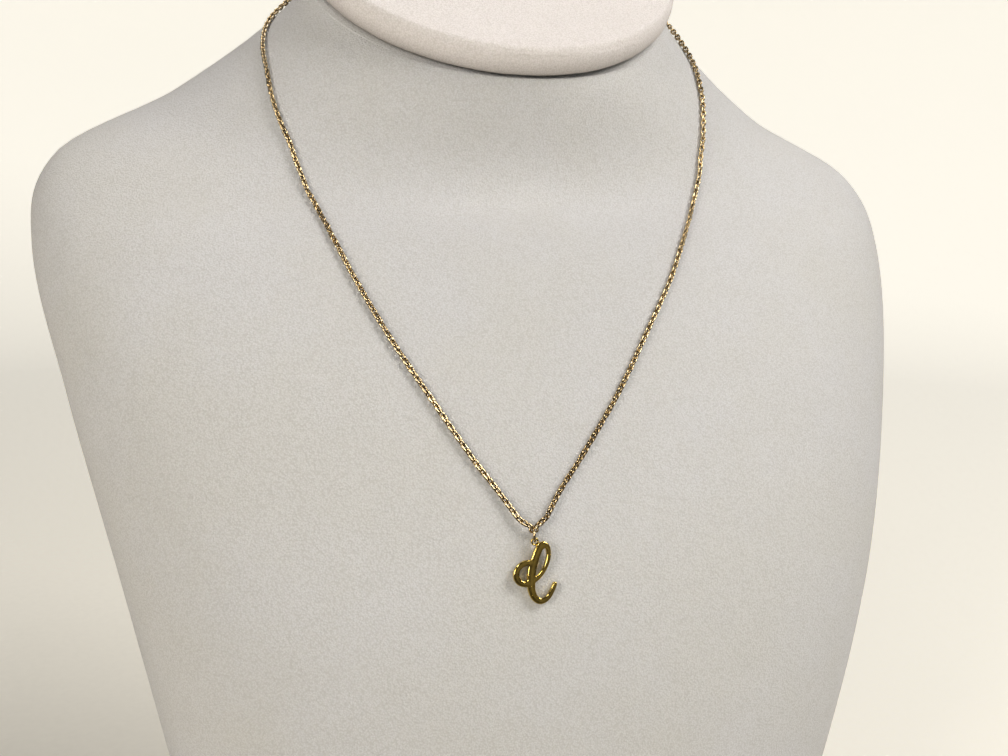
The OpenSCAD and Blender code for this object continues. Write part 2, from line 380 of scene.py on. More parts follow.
def leatherette(name, pale, shaded):
    """A matt pebbled skin with a drifting tint, and painted shade in its dips and where marked "under".
    """
    material, shader, place = new_material(name)
    cells = node(place, "ShaderNodeTexVoronoi", feature="F1", Scale=GRAIN_PER_M)
    feed(place, cells, "Vector")
    mixed = node(place, "ShaderNodeMath", operation="MULTIPLY_ADD")
    feed(noise(place, PORES_PER_M, 3), mixed, 0)
    mixed.inputs[1].default_value = PORE_SHARE
    feed(cells.outputs["Distance"], mixed, 2)
    grain = mixed.outputs[0]
    tint = ramp(noise(place, TINT_PER_M, 4, Roughness=0.6), shaded, pale, *TINT_SPREAD)
    # Painted shade of the grain: the dips between the pebbles are darker in colour.
    painted_grain_shade = ramp(grain, WHITE, PAINTED_HOLLOW_SHADE, *PAINTED_HOLLOW_SPREAD)
    # Painted shade: the skin is darker where the point mark "under" is high.
    under = node(place, "ShaderNodeAttribute", attribute_name="under")
    shade_below_painted = ramp(under.outputs["Fac"], WHITE, PAINTED_UNDER_SHADE)
    skin = glazed(glazed(tint, painted_grain_shade), shade_below_painted)
    feed(skin, shader, "Base Color")
    feed(relief(grain, GRAIN_DEPTH, hollow=True), shader, "Normal")
    feed(rescaled(grain, *GRAIN_RANGE, *MATT_RANGE), shader, "Roughness")
    filled(shader, Specular_IOR_Level=SKIN_SHEEN)
    return material


bust_skin = leatherette("bust_leatherette", (0.70, 0.691, 0.705, 1), (0.685, 0.672, 0.665, 1))
# The cap's skin is a warmer, pinker copy of the bust's, and it is also made lighter as painted light:
# that part stands in for the stronger light on its upward face.
cap_skin_with_painted_light = leatherette("cap_leatherette_with_painted_light", (0.88, 0.825, 0.815, 1), (0.865, 0.81, 0.795, 1))
print("pebble in mm:", round(1000 / GRAIN_PER_M, 2))

# %% [markdown]
# ## The covered bust
#
# The cover is stretched tight over the form, so it follows it closely. What a plain solid lacks
# is the thickness of the cover: the foot and the neck have rounded edges where it turns in, a
# small lip swells round the neck's top, and the cover is joined down the middle of the back. A
# bump could fake that seam, but not its outline, so the columns are drawn close to it and the
# groove is real geometry.

# %% Rings and columns of the cover
FOOT_ROUND = 3.0
NECK_ROUND = 0.6
LIP_OUT = 0.25
LIP_AT = 1.5
LIP_HALF = 0.7
ROUND_STEPS = 6
BUST_RINGS = 150
BUST_COLUMNS = 190
# Angles in degrees: the middle of the back, the columns beside it and the first even column
BACK_MIDDLE = 90
SEAM_COLUMNS = np.array([0, 0.4, 0.8, 1.2, 1.8, 2.6, 4, 6])
EVEN_FROM = 8

seam_columns = np.concatenate([-SEAM_COLUMNS[:0:-1], SEAM_COLUMNS])
even_columns = np.linspace(EVEN_FROM, 360 - EVEN_FROM, BUST_COLUMNS - len(seam_columns))
columns = BACK_MIDDLE + np.concatenate([seam_columns, even_columns])
quarter = np.linspace(0, pi / 2, ROUND_STEPS + 1)
# Each ring is a height and how far it is drawn in from the surface
foot_rings = [(FOOT_ROUND * (1 - sin(a)), FOOT_ROUND * (1 - cos(a))) for a in quarter[::-1]]
lip_from = BUST_H - LIP_AT - 3 * LIP_HALF
body_rings = [(h, 0.0) for h in np.linspace(FOOT_ROUND, lip_from, BUST_RINGS)[1:]]
lip_rings = [
    (h, -LIP_OUT * exp(-((h - BUST_H + LIP_AT) / LIP_HALF) ** 2))
    for h in np.linspace(lip_from, BUST_H - NECK_ROUND, 2 * ROUND_STEPS)[1:-1]
]
neck_rings = [
    (BUST_H - NECK_ROUND * (1 - sin(a)), NECK_ROUND * (1 - cos(a))) for a in quarter
]
levels = np.array(foot_rings + body_rings + lip_rings + neck_rings)
print("rings:", len(levels), "columns:", len(columns))

# %% Bust cover
SEAM_WIDE = 1.1
SEAM_DEEP = 0.5

surface = bust_point(levels[:, :1], columns[None])
middle = surface.mean(1, keepdims=True)
inward = unit(middle - surface)
seam_at = surface[..., 0] / SEAM_WIDE
seam = SEAM_DEEP * np.exp(-seam_at ** 2) * (surface[..., 1] > middle[..., 1])
cover_points = surface + inward * (levels[:, 1][:, None] + seam)[..., None]
cover = make_piece(
    "bust_cover", cover_points.reshape(-1, 3), grid_faces(len(levels), len(columns)),
    bust_skin, "neck_bust",
)
cad_box = [[round(x / MM, 1) for x in corner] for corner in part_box("neck_bust")]
print("bust cover:", triangles_of(cover), "triangles, packed solid from", *cad_box)

# %% [markdown]
# ## The padded cap
#
# The neck is closed by a firm padded disc in the same cover, a little wider than the neck. Its
# face is slightly crowned, its rim is fuller above than below, and the cover is gathered
# underneath, which leaves the lower rim slightly uneven. The lower rim is painted darker towards
# the bottom, as painted shade under the rim. A cloth simulation would puff it up more. So a
# turned profile gives the form, and a few slow waves the gathers.

# %% Profile of the cap
CAP_OVERHANG = 1.5
CAP_T = 8
CAP_CROWN = 0.9
CAP_HUB = 0.6
# The widest place as a share of the thickness, and how far the rim turns in above and below
CAP_WIDEST = 0.55
CAP_CORNER = 1.6
CAP_UNDER = 3.2
RIM_STEPS = 36
FACE_RINGS = 26

cap_r = neck_r + CAP_OVERHANG
rim_angle = np.linspace(-90, 90, RIM_STEPS + 1)
c, s = np.cos(np.radians(rim_angle)), np.sin(np.radians(rim_angle))
widest_z = CAP_WIDEST * CAP_T
rim_r = cap_r - np.where(s < 0, CAP_UNDER, CAP_CORNER) * (1 - c)
rim_z = widest_z + s * np.where(s < 0, widest_z, CAP_T - widest_z)
face_r = np.linspace(cap_r - CAP_CORNER, CAP_HUB, FACE_RINGS)[1:]
under_r = np.linspace(CAP_HUB, cap_r - CAP_UNDER, FACE_RINGS)[:-1]
profile_r = np.concatenate([under_r, rim_r, face_r])
profile_z = np.concatenate([np.zeros(len(under_r)), rim_z, np.full(len(face_r), float(CAP_T))])
profile_z += CAP_CROWN * np.clip(1 - (profile_r / cap_r) ** 2, 0, 1) * (profile_z > CAP_T / 2)
print("profile of the cap:", len(profile_r), "rings")

# %% Cap
CAP_GAP = 0.3
CAP_COLUMNS = 240
# Each wave round the rim: how many, how far out in mm, and where it starts
CAP_WAVES = [(5, 0.10, 0.4), (11, 0.06, 1.9), (23, 0.04, 4.0), (41, 0.025, 2.2)]
WAVE_FADE = 8
WAVE_UP_TO = 0.8
# How far up the painted shade reaches, as a share of the thickness, and how it fades
PAINTED_SHADE_TO = 0.75
PAINTED_SHADE_CURVE = 1.3

turn = full_turn(CAP_COLUMNS)
rim_share = np.clip(profile_r / cap_r, 0, 1)[:, None] ** WAVE_FADE
wave = sum(size * np.sin(count * turn + shift) for count, size, shift in CAP_WAVES)[None] * rim_share
ring_r = profile_r[:, None] + wave * (profile_z < CAP_T * WAVE_UP_TO)[:, None]
cap_local = np.stack([
    ring_r * np.cos(turn), ring_r * np.sin(turn), np.repeat(profile_z[:, None], CAP_COLUMNS, 1)
], -1).reshape(-1, 3)
lean_matrix = Matrix.Translation((0, NECK_BACK, BUST_H)) @ Matrix.Rotation(NECK_LEAN, 4, "X")
lean_matrix = np.array(lean_matrix @ Matrix.Translation((0, 0, CAP_GAP)))
cap = make_piece(
    "cap_cover", cap_local @ lean_matrix[:3, :3].T + lean_matrix[:3, 3],
    grid_faces(len(profile_r), CAP_COLUMNS), cap_skin_with_painted_light, "neck_cap",
)
# Painted shade on the lower rim: darker towards the bottom, through the point mark "under".
rim_painted_shade = np.clip(1 - profile_z / (PAINTED_SHADE_TO * CAP_T), 0, 1) ** PAINTED_SHADE_CURVE
mark = cap.data.attributes.new("under", "FLOAT", "POINT")
mark.data.foreach_set("value", np.repeat(rim_painted_shade, CAP_COLUMNS))
print("cap:", triangles_of(cap), "triangles, radius", cap_r, "mm")

# %% [markdown]
# ## Gold
#
# The chain and the initial are polished yellow gold, or brass plated with it, under the clear
# lacquer that keeps such pieces bright. Bare metal would tint every highlight yellow, while a
# clear coat keeps them cream. Under it lie a strong colour, darker where it is worn, an uneven
# roughness and a faint ripple from hand polishing.

# %% Gold finish
WEAR_PER_M = 320
WEAR_SPREAD = (0.38, 0.62)
WEAR_RANGE = (0.3, 0.7)
WORN_SHADE = 0.62
RIPPLES_PER_M = 520
RIPPLE_STRENGTH = 0.5
LACQUER_ROUGHNESS = 0.06


def gold(name, colour, smooth, worn, ripple):
    """Lacquered gold, its roughness from smooth to worn, with ripples of a depth in mm."""
    material, shader, place = new_material(name)
    wear = noise(place, WEAR_PER_M, 5, Roughness=0.65)
    waves = noise(place, RIPPLES_PER_M, 2)
    deeper = tuple(x * WORN_SHADE for x in colour[:3]) + (1,)
    feed(ramp(wear, deeper, colour, *WEAR_SPREAD), shader, "Base Color")
    feed(rescaled(wear, *WEAR_RANGE, smooth, worn), shader, "Roughness")
    feed(relief(waves, ripple, RIPPLE_STRENGTH), shader, "Normal")
    filled(shader, Metallic=1.0, Coat_Weight=1.0, Coat_Roughness=LACQUER_ROUGHNESS)
    return material


plate_gold = gold("polished_gold", (0.80, 0.58, 0.13, 1), 0.10, 0.18, 0.05)
wire_gold = gold("wire_gold", (0.56, 0.42, 0.22, 1), 0.08, 0.16, 0.01)
print("finishes:", [m.name for m in bpy.data.materials])

# %% [markdown]
# ## Where the pendant hangs
#
# The chain lies on the bust along a route of a few chosen points, and its lowest point carries
# a small ring. The ring stands upright on the chest, and the initial hangs from it and leans
# with its foot on the cover. A simulation could drop them into place, but here all three are
# worked out from the surface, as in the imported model.

# %% Route of the chain
# Height as a share of the bust's, angle round it in degrees, and lift as a share of the ring's
CHAIN_ROUTE = np.array([
    [0.968, 112, 0], [0.9635, 135, 0], [0.955, 150, 0], [0.947, 162, 0], [0.941, 174, 0],
    [0.935, 188, 0], [0.924, 203.5, 0], [0.9075, 216, 0], [0.887, 226.7, 0],
    [0.861, 236.1, 0], [0.842, 241.2, 0], [0.82, 244.3, 0], [0.793, 246.1, 0],
    [0.768, 247.1, 0], [0.731, 248.9, 0], [0.686, 251.6, 0], [0.644, 254.85, 0],
    [0.601, 258.5, 0], [0.5785, 260.8, 0.1], [0.56, 262.6, 0.5], [0.551, 263.4, 0.9],
    [0.548, 263.85, 0.99],
    [0.5475, 264.3, 1],
    [0.548, 264.75, 0.99], [0.551, 265.2, 0.9], [0.56, 266.3, 0.5], [0.5775, 268.4, 0.1],
    [0.5975, 271.2, 0], [0.639, 276.4, 0], [0.682, 281.2, 0], [0.7285, 286.1, 0],
    [0.768, 289.3, 0], [0.796, 291.4, 0], [0.8255, 294.1, 0], [0.843, 296.9, 0],
    [0.8645, 302.5, 0], [0.889, 310.2, 0], [0.906, 316.9, 0], [0.92, 324.3, 0],
    [0.933, 333, 0], [0.944, 343.5, 0], [0.9545, 353, 0], [0.962, 364, 0], [0.967, 380, 0],
    [0.968, 400, 0], [0.968, 428, 0]
])
UP, AROUND, LIFT = 0, 1, 2
CHAIN_ROUTE[:, UP] *= BUST_H
tip_row = int(np.argmax(CHAIN_ROUTE[:, LIFT]))
tip_height, tip_angle = CHAIN_ROUTE[tip_row, UP], CHAIN_ROUTE[tip_row, AROUND]
print("lowest point of the route:", tip_height.round(1), "mm up, at", tip_angle, "degrees")

# %% Places of the ring and the initial
CHAIN_D = 1.1
REST_GAP = 0.25
BEND_GAP = 0.15
RING_D = 2.95
RING_WIRE = 0.55
LETTER_H = 12.6
LETTER_T = 1.2
LETTER_REACH = 0.97


def surface_axes(height, angle):
    """A foot point on the bust and three directions there: across, up the slope and outward."""
    foot, out = bust_point(height, angle), bust_normal(height, angle)
    rise = unit(np.array([0, 0, 1.0]) - out[2] * out)
    return foot, np.cross(rise, out), rise, out


tip_foot, tip_across, tip_up, tip_out = surface_axes(tip_height, tip_angle)
wire_r = (RING_D - RING_WIRE) / 2
ring_lift = RING_D / 2 + REST_GAP
bend_drop = RING_WIRE / 2 + BEND_GAP + CHAIN_D / 2
ring_centre = tip_foot + tip_out * ring_lift - tip_up * (wire_r - bend_drop)
eyelet_centre = ring_centre - tip_up * wire_r
foot_height = tip_height - (wire_r + LETTER_REACH * LETTER_H) * tip_up[2]
leaning_foot = bust_point(foot_height, tip_angle)
leaning_foot = leaning_foot + bust_normal(foot_height, tip_angle) * (LETTER_T / 2 + REST_GAP)
hang_up = unit(eyelet_centre - leaning_foot)
hang_across = unit(np.cross(hang_up, tip_out))
hang_out = np.cross(hang_across, hang_up)
packed_centre = [round(sum(corner) / 2 / MM, 2) for corner in zip(*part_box("jump_ring"))]
print("ring centre here:", ring_centre.round(2), "in the packed model:", packed_centre)

# %% [markdown]
# ## The initial
#
# The initial is a flat letter cut or cast in metal and then polished: one pen stroke with a
# small loop, a thin rising line, a broad stem and a bowl. A letter could be typed and bevelled,
# but a typeface has its own shapes, so the stroke is drawn as a centre line with a breadth at
# each point. Its outline is swept down round the edge in a quarter circle, and its faces are
# filled with small triangles that rise a little towards the middle, as polishing leaves them.

# %% Pen strokes
# Shares of the letter's height: across, up and breadth
RISING_STROKE = np.array([
    [-0.055, -0.33, 0.08], [-0.135, -0.338, 0.095], [-0.212, -0.374, 0.095],
    [-0.27, -0.442, 0.098], [-0.289, -0.53, 0.104], [-0.262, -0.61, 0.104],
    [-0.2, -0.657, 0.098], [-0.112, -0.662, 0.096], [-0.018, -0.618, 0.088],
    [0.08, -0.545, 0.076], [0.154, -0.449, 0.07], [0.206, -0.337, 0.07],
    [0.229, -0.225, 0.072], [0.224, -0.128, 0.077], [0.19, -0.062, 0.088],
    [0.13, -0.038, 0.1],
])
FALLING_STROKE = np.array([
    [0.16, -0.048, 0.104], [0.095, -0.07, 0.126], [0.047, -0.16, 0.125],
    [0.01, -0.272, 0.128], [-0.026, -0.4, 0.14], [-0.042, -0.528, 0.14],
    [-0.039, -0.656, 0.131], [-0.026, -0.768, 0.122], [0.02, -0.864, 0.112],
    [0.103, -0.922, 0.102], [0.193, -0.903, 0.09], [0.264, -0.836, 0.082],
    [0.312, -0.746, 0.08], [0.348, -0.654, 0.075],
])
STROKE_STEP = 0.08


def stroke_line(stroke):
    """Close points of a stroke's centre line, with the breadth at each, in mm."""
    keyed = np.column_stack([along_length(stroke), stroke])
    length = keyed[-1, 0]
    places = np.linspace(0, length, int(length * LETTER_H / STROKE_STEP) + 1)
    return smooth_rows(keyed, places) * LETTER_H


pen = np.vstack([stroke_line(RISING_STROKE), stroke_line(FALLING_STROKE)])
print("places of the pen:", len(pen))

# %% [markdown]
# A round pen pressed on every place of the two lines leaves the letter. A point of the plane is
# as deep under the pen as it is in its deepest circle, and the outline is where that depth is
# zero. It is found on a fine square lattice: it crosses each side of a square that has one end
# inside and one outside, and the crossings are joined up.

# %% Raw outlines of the letter
LATTICE = 0.07


def depth_inside(points):
    """How deep points lie inside the strokes, in mm, and below zero outside them."""
    depth = np.full(len(points), -np.inf)
    for x, y, breadth in pen:
        depth = np.maximum(depth, breadth / 2 - np.hypot(points[:, 0] - x, points[:, 1] - y))
    return depth


low = pen[:, :2].min(0) - pen[:, 2].max()
count = np.ceil((pen[:, :2].max(0) + pen[:, 2].max() - low) / LATTICE).astype(int)
places = np.stack(np.meshgrid(*map(np.arange, count), indexing="ij"), -1)
depth = depth_inside(places.reshape(-1, 2) * LATTICE + low).reshape(count)
inside = depth > 0
corners = [(0, 0), (1, 0), (1, 1), (0, 1)]
inner = sum(inside[a:count[0] - 1 + a, b:count[1] - 1 + b].astype(int) for a, b in corners)
# For each side that the outline crosses, the side that it crosses next, metal on the left
following = {}
for i, j in np.argwhere((inner > 0) & (inner < 4)).tolist():
    square = [(i + a, j + b) for a, b in corners]
    sides = list(zip(square, square[1:] + square[:1]))
    leaving = [(p, q) for p, q in sides if inside[p] and not inside[q]]
    coming = [(q, p) for p, q in sides if inside[q] and not inside[p]]
    following.update(zip(leaving, coming))
raw_outlines = []
while following:
    start, side = following.popitem()
    loop = [start]
    while side != start:
        loop.append(side)
        side = following.pop(side)
    share = np.array([depth[p] / (depth[p] - depth[q]) for p, q in loop])[:, None]
    metal, air = np.array(loop).transpose(1, 0, 2)
    raw_outlines.append((metal + share * (air - metal)) * LATTICE + low)
print("crossings of each outline:", [len(loop) for loop in raw_outlines])

# %% Smooth outlines of the letter
OUTLINE_STEP = 0.09


def even_loop(loop, step):
    """The same closed line with evenly spaced points."""
    closed = np.vstack([loop, loop[:1]])
    at = along_length(closed)
    return line_at(np.linspace(0, at[-1], int(at[-1] / step), endpoint=False), at, closed)


def softened(loop, times=3):
    """A closed line with its corners very slightly rounded, as polishing does."""
    for _ in range(times):
        loop = loop / 2 + (np.roll(loop, 1, 0) + np.roll(loop, -1, 0)) / 4
    return loop


outlines = [softened(even_loop(loop, OUTLINE_STEP)) for loop in raw_outlines]
print("points of the outlines:", [len(loop) for loop in outlines])

# %% Rounded edge of the plate
EDGE_ROUND = 0.32
EDGE_STEPS = 5

edge_angles = np.linspace(0, pi / 2, EDGE_STEPS + 1)
# Rows of inset and height, from the top face's edge round to the bottom face's edge
edge_rows = [
    (EDGE_ROUND * (1 - sin(a)), LETTER_T / 2 - EDGE_ROUND * (1 - cos(a))) for a in edge_angles
]
edge_rows += [(inset, -height) for inset, height in edge_rows[::-1]]
plate_points, plate_faces, plate_rims = [], [], []
for loop in outlines:
    ahead = unit(np.roll(loop, -1, 0) - np.roll(loop, 1, 0))
    outward = np.column_stack([ahead[:, 1], -ahead[:, 0]])
    count, start = len(loop), len(plate_points)
    for inset, height in edge_rows:
        ring = np.column_stack([loop - outward * inset, np.full(count, height)])
        plate_points.extend(ring.tolist())
    loop_faces = grid_faces(len(edge_rows), count, "open")
    plate_faces.extend([[start + i for i in face] for face in loop_faces])
    plate_rims.append((start, start + (len(edge_rows) - 1) * count, count))
print("edge of the plate:", len(plate_faces), "faces")

# %% [markdown]
# The face has to meet the edge point for point. Triangles are drawn between the rim and a
# lattice of inner points, in the way that keeps them plump, and those that bridge a hole are
# dropped. Each inner point then rises with its depth under the pen.

# %% Faces of the plate
FACE_STEP = 0.22
FACE_CROWN = 0.14
CROWN_REACH = 0.4
# Least way from the rim to an inner point, as a share of the step
RIM_CLEAR = 0.4
INSIDE_ONLY = 1
NEAR_ENOUGH = 1e-7

flat = np.array(plate_points)[:, :2]
spans = [np.arange(a, b, FACE_STEP) for a, b in zip(flat.min(0), flat.max(0))]
lattice = np.stack(np.meshgrid(*spans), -1).reshape(-1, 2)
lattice = lattice[depth_inside(lattice) > EDGE_ROUND + RIM_CLEAR * FACE_STEP]


def add_face(side):
    """Fills the top of the plate, side 0, or its bottom, side 1."""
    rim_ids, rim_sides = [], []
    for rim in plate_rims:
        first, count = len(rim_ids), rim[2]
        rim_ids += [rim[side] + i for i in range(count)]
        rim_sides += [(first + i, first + (i + 1) % count) for i in range(count)]
    corners = [Vector(flat[i]) for i in rim_ids] + [Vector(p) for p in lattice]
    made, _, triangles, origin, _, _ = geometry.delaunay_2d_cdt(
        corners, rim_sides, [], INSIDE_ONLY, NEAR_ENOUGH, True,
    )
    where = np.array(made)
    crown = 1 - np.exp(-np.clip(depth_inside(where) - EDGE_ROUND, 0, None) / CROWN_REACH)
    ids = []
    for p, height, sources in zip(made, LETTER_T / 2 + FACE_CROWN * crown, origin):
        on_rim = [o for o in sources if o < len(rim_ids)]
        ids.append(rim_ids[on_rim[0]] if on_rim else len(plate_points))
        if not on_rim:
            plate_points.append([p[0], p[1], height * (1 - 2 * side)])
    centres = where[np.array(triangles)].mean(1)
    for triangle, depth in zip(triangles, depth_inside(centres)):
        if depth > EDGE_ROUND / 2:
            corner_ids = [ids[i] for i in triangle]
            plate_faces.append(corner_ids if side == 0 else corner_ids[::-1])


add_face(0)
add_face(1)
plate_points = np.array(plate_points)
print("plate:", len(plate_faces), "faces,", np.ptp(plate_points, axis=0).round(2), "mm")

# %% [markdown]
# The eyelet is a small ring of wire soldered to the letter's shoulder. It could be pushed into
# the plate, but a soldered joint is one skin. So plate and eyelet are joined with an exact union.

# %% Wire rings and unions
SOLDER_ANGLE = radians(38)


def bent_wire(turns, r, wire_d, sides, ends, straight=0.0):
    """Points and faces of round wire bent in the flat plane, and made longer along x."""
    points = []
    for t in turns:
        outward = np.array([cos(t), sin(t), 0])
        middle = r * outward + np.array([straight * np.sign(outward[0]), 0, 0])
        for a in full_turn(sides):
            points.append(middle + (cos(a) * outward + [0, 0, sin(a)]) * wire_d / 2)
    return np.array(points), [face[::-1] for face in grid_faces(len(turns), sides, ends)]


def torus(outer_d, wire_d, count=64, sides=16, opening=0.0):
    """A round wire ring in the flat plane, closed, or open by a gap in mm."""
    r = (outer_d - wire_d) / 2
    half_gap = opening / r / 2
    turns = np.linspace(half_gap, 2 * pi - half_gap, count, endpoint=opening > 0)
    return bent_wire(turns, r, wire_d, sides, "closed" if opening else "joined")


def placed(points, x, y, z, origin):
    """Points of a local frame, put at their place in mm."""
    return points @ np.array([x, y, z]) + origin


def joined(first, second):
    """Makes the first piece the closed union of both, and takes the second in."""
    modifier = first.modifiers.new("union", "BOOLEAN")
    modifier.operation, modifier.solver, modifier.object = "UNION", "EXACT", second
    bpy.context.view_layer.update()
    evaluated = first.evaluated_get(bpy.context.evaluated_depsgraph_get())
    mesh = bpy.data.meshes.new_from_object(evaluated)
    first.modifiers.clear()
    first.data = mesh
    bpy.data.objects.remove(second)
    mesh.set_sharp_from_angle(angle=SOLDER_ANGLE)


print("edges sharper than", round(degrees(SOLDER_ANGLE)), "degrees stay crisp")

# %% Initial with its eyelet
EYELET_D = 1.65
EYELET_WIRE = 0.4
LETTER_TURN = radians(-7)

letter_x = hang_across * cos(LETTER_TURN) + hang_up * sin(LETTER_TURN)
letter_y = hang_up * cos(LETTER_TURN) - hang_across * sin(LETTER_TURN)
letter = make_piece(
    "initial_plate", placed(plate_points, letter_x, letter_y, hang_out, eyelet_centre), plate_faces,
    plate_gold, "initial_pendant",
)
eyelet_points, eyelet_faces = torus(EYELET_D, EYELET_WIRE)
eyelet = make_piece(
    "eyelet", placed(eyelet_points, letter_x, letter_y, hang_out, eyelet_centre), eyelet_faces,
    plate_gold,
)
joined(letter, eyelet)
print("initial:", triangles_of(letter), "triangles")

# %% [markdown]
# ## The jump ring
#
# A jump ring is a turn of round wire cut from a coil, so its two ends meet in a hairline. A
# closed ring would do from afar, but the hairline shows that it can be opened. It is turned so
# that this joint is away from the viewer, as a careful maker does.

# %% Jump ring
RING_TURN = radians(-14)
RING_JOINT = 0.04
JOINT_TURN = 0.6

ring_points, ring_faces = torus(RING_D, RING_WIRE, 96, 20, RING_JOINT)
ring_axis = tip_across * cos(RING_TURN) - tip_out * sin(RING_TURN)
ring_side = tip_out * cos(RING_TURN) + tip_across * sin(RING_TURN)
joint_x = -(ring_side * cos(JOINT_TURN) - tip_up * sin(JOINT_TURN))
joint_y = np.cross(ring_axis, joint_x)
jump_ring = make_piece(
    "jump_ring_wire", placed(ring_points, joint_x, joint_y, ring_axis, ring_centre), ring_faces,
    wire_gold, "jump_ring",
)
print("jump ring:", triangles_of(jump_ring), "triangles")

# %% [markdown]
# ## The chain
#
# The chain is a fine cable chain: small oval links of round wire, each at a right angle to the
# next. It could be one link with an array and a curve, but then the links stretch in the bends.
# So each link is placed on its own, a quarter turn from the last, give or take a little. A lying
# chain settles on the corners of its links, half way between flat and upright, and twists slowly
# as it goes round the neck. At the bottom one link lies flat and the jump ring passes through it.

# %% Sizes of the links and of what they meet
LINK_L = 2.12
LINK_W = 1.46
LINK_WIRE = 0.46
LINK_PITCH = LINK_L - 2 * LINK_WIRE
CLASP_D = 5.5
CLASP_WIRE = 1.1
END_RING_D = 3.0
END_RING_WIRE = 0.45
END_GAP = 0.03

link_reach = (LINK_L - LINK_WIRE) / 2
link_aside = (LINK_W - LINK_WIRE) / 2
clasp_foot, clasp_across, clasp_up, clasp_out = surface_axes(CHAIN_ROUTE[0, UP], BACK_MIDDLE)
clasp_wire_r = (CLASP_D - CLASP_WIRE) / 2
end_wire_r = (END_RING_D - END_RING_WIRE) / 2
end_middle = clasp_wire_r - (CLASP_WIRE + END_RING_WIRE) / 2 - END_GAP + end_wire_r
strand_end = end_middle + end_wire_r - (END_RING_WIRE + LINK_WIRE) / 2
print("strands end", round(strand_end, 2), "mm from the middle of the clasp")

# %% Twist and height of the lying chain
# Roll away from flat, in degrees, at distances from the bottom link in mm
LEFT_ROLL = [
    (0, 20), (4, 30), (88, 29), (96, 41), (104, 48), (112, 57), (120, 67), (128, 75), (136, 92),
    (150, 120), (230, 135)
]
RIGHT_ROLL = [
    (0, 25), (4, 36), (88, 36), (96, 28), (104, 18), (120, 15), (136, 5), (150, 0), (230, 45)
]
LINK_CLEAR = 0.04


def roll_at(places, roll_table):
    """The chain's roll in radians at distances along a strand."""
    return np.radians(np.interp(places, *zip(*roll_table)))


def rest_height(roll):
    """Height of the chain's middle over the cover when its links lie at this roll."""
    lean = np.maximum(np.abs(np.sin(roll)), np.abs(np.cos(roll)))
    return link_aside * lean + LINK_WIRE / 2 + LINK_CLEAR


print("middle of a flat link:", round(float(rest_height(0.0)), 2), "mm over the cover")

# %% Strands of the chain
LINE_STEP = 0.25
APEX_GAP = 0.02
# Rows beside the route's lowest point that the way out of the bottom link takes over
LEAD_ROWS = 2
# Where a strand leaves the bottom link, as shares of its reach
LEAD_ASIDE = 0.62
LEAD_UP = 0.35

apex = ring_centre + tip_up * (wire_r + link_aside - (LINK_WIRE + RING_WIRE) / 2 - APEX_GAP)


def strand(rows, side, roll_table):
    """A strand's close points up to the clasp, the way outward at each, and its roll."""
    clasp_turn = degrees(asin(strand_end / smooth_rows(sections, np.array(rows[-1, UP]))[0]))
    wrap = BACK_MIDDLE + clasp_turn if side < 0 else BACK_MIDDLE + 360 - clasp_turn
    rows = np.vstack([rows, [rows[-1, UP], wrap, 0]])
    keyed = np.column_stack([along_length(bust_point(rows[:, UP], rows[:, AROUND])), rows])
    places = np.arange(0, keyed[-1, 0], LINE_STEP)
    up, around, lift = smooth_rows(keyed, places).T
    out = bust_normal(up, around)
    height = rest_height(roll_at(places, roll_table))
    height = height + np.clip(lift, 0, 1) * (ring_lift - height)
    line = bust_point(up, around) + out * height[:, None]
    corner = apex + tip_across * side * (link_reach - LINK_WIRE) * LEAD_ASIDE
    corner = corner + tip_up * link_aside * LEAD_UP
    reach = np.linalg.norm(line[0] - corner)
    t = np.linspace(0, 1, int(reach / LINE_STEP) + 2)[:-1, None]
    leaving, arriving = unit(line[0] - corner + tip_up) * reach, unit(line[1] - line[0]) * reach
    lead = batten(t, corner, leaving, line[0], arriving)
    outs = np.vstack([np.repeat(tip_out[None], len(lead), 0), out])
    return np.vstack([lead, line]), outs, roll_table


left_rows = CHAIN_ROUTE[:tip_row - LEAD_ROWS][::-1]
right_rows = CHAIN_ROUTE[tip_row + LEAD_ROWS + 1:]
strands = [strand(left_rows, -1, LEFT_ROLL), strand(right_rows, 1, RIGHT_ROLL)]
print("strand lengths in mm:", [round(along_length(line)[-1], 1) for line, _, _ in strands])

# %% One link
LINK_STEPS = 20
WIRE_SIDES = 8

link_turns = full_turn(LINK_STEPS) + pi / LINK_STEPS
link_points, link_faces = bent_wire(
    link_turns, link_aside, LINK_WIRE, WIRE_SIDES, "joined", (LINK_L - LINK_W) / 2,
)
print("one link:", np.ptp(link_points, axis=0).round(2), "mm")

# %% Links along a strand
SHAKE_SEED = 7
LOOSE_ROLL = radians(5)
LOOSE_TILT = radians(3)
LOOSE_FROM = 8
shake = np.random.default_rng(SHAKE_SEED)


def strand_links(line, outs, roll_table):
    """Middle and axes of each link of a strand, from the bottom link out."""
    at = along_length(line)
    spans = round((at[-1] - 2 * link_reach) / LINK_PITCH)
    places = link_reach + np.arange(spans + 1) * (at[-1] - 2 * link_reach) / spans
    along = unit(line_at(places + link_reach, at, line) - line_at(places - link_reach, at, line))
    out = line_at(places, at, outs)
    out = unit(out - (out * along).sum(1, keepdims=True) * along)
    side = np.cross(out, along)
    roll = roll_at(places, roll_table) + pi / 2 * (np.arange(len(places)) % 2 + 1)
    roll += shake.normal(0, 1, len(places)) * LOOSE_ROLL * np.clip(places / LOOSE_FROM, 0, 1)
    width = side * np.cos(roll)[:, None] + out * np.sin(roll)[:, None]
    tilt = (shake.normal(0, 1, len(places)) * LOOSE_TILT)[:, None]
    tilted = along * np.cos(tilt) + width * np.sin(tilt)
    return line_at(places, at, line), tilted, width * np.cos(tilt) - along * np.sin(tilt)


chain_points, chain_faces = [], []


